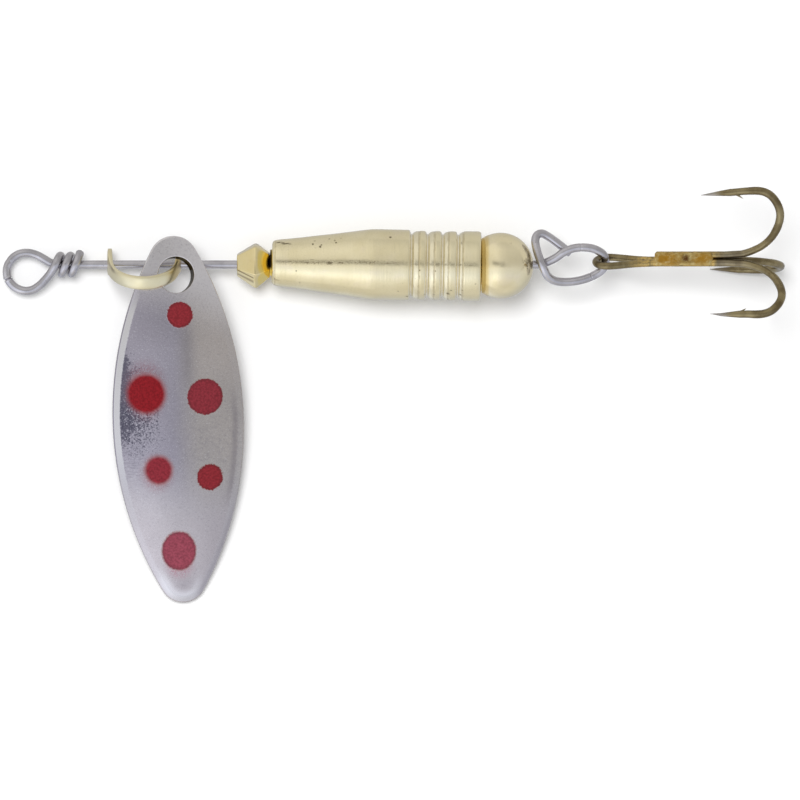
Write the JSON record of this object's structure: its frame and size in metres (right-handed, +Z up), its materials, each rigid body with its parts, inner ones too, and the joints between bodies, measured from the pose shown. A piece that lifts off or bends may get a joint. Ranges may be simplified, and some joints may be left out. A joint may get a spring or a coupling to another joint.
{
  "type": "inline spinner",
  "caption": "Inline spinner fishing lure: a long silver blade on a brass clevis turns on a wire shaft ahead of a tapered brass body, with a treble hook linked behind.",
  "frame": {"origin": "on the shaft axis inside the line eye", "axes": "+X from the line eye towards the hooks, along the lure as it lies (the shaft leans 4 degrees nose down), +Y across, away from the blade's tip, +Z up"},
  "size_m": [0.0783, 0.0415, 0.0128],
  "materials": {
    "spring_wire": "drawn stainless spring wire",
    "clevis_brass": "pale plated brass strip",
    "blade_silver": "silver plated, slightly rough, with sprayed red dots",
    "bead_brass": "faceted polished brass",
    "body_brass": "pale plated brass with small casting pits",
    "ball_brass": "pale plated brass",
    "hook_bronze": "bronzed steel",
    "braze_brass": "rough mottled braze"
  },
  "bodies": {
    "wire": {"shaft_wire": "spring_wire"},
    "clevis": {"clevis": "clevis_brass"},
    "blade": {"blade": "blade_silver"},
    "bead": {"front_bead": "bead_brass"},
    "lure_body": {"body": "body_brass"},
    "ball": {"rear_bead": "ball_brass"},
    "hook": {"hook_double": "hook_bronze", "hook_single": "hook_bronze", "braze_joint": "braze_brass"}
  },
  "joints": [
    {"name": "clevis_spin", "type": "hinge", "parent": "wire", "child": "clevis", "pos_m": [0.0118, 0, 0.00083], "axis": [0.9976, 0, 0.0698], "continuous": true},
    {"name": "blade_swing", "type": "hinge", "parent": "clevis", "child": "blade", "pos_m": [0.01485, -0.00103, 0.00309], "axis": [0.0386, -0.1005, 0.9942], "range_deg": [-22, 33]},
    {"name": "bead_spin", "type": "hinge", "parent": "wire", "child": "bead", "pos_m": [0.02274, 0, 0.00159], "axis": [0.9976, 0, 0.0698], "continuous": true},
    {"name": "body_spin", "type": "hinge", "parent": "wire", "child": "lure_body", "pos_m": [0.03422, 0, 0.00239], "axis": [0.9974, -0.0175, 0.0697], "continuous": true},
    {"name": "ball_spin", "type": "hinge", "parent": "wire", "child": "ball", "pos_m": [0.04733, -0.00012, 0.00331], "axis": [0.9976, 0, 0.0698], "continuous": true},
    {"name": "hook_swing", "type": "hinge", "parent": "wire", "child": "hook", "pos_m": [0.05781, 0.00027, 0.00399], "axis": [0.0647, -0.925, -0.3745], "range_deg": [-75, 75]}
  ]
}
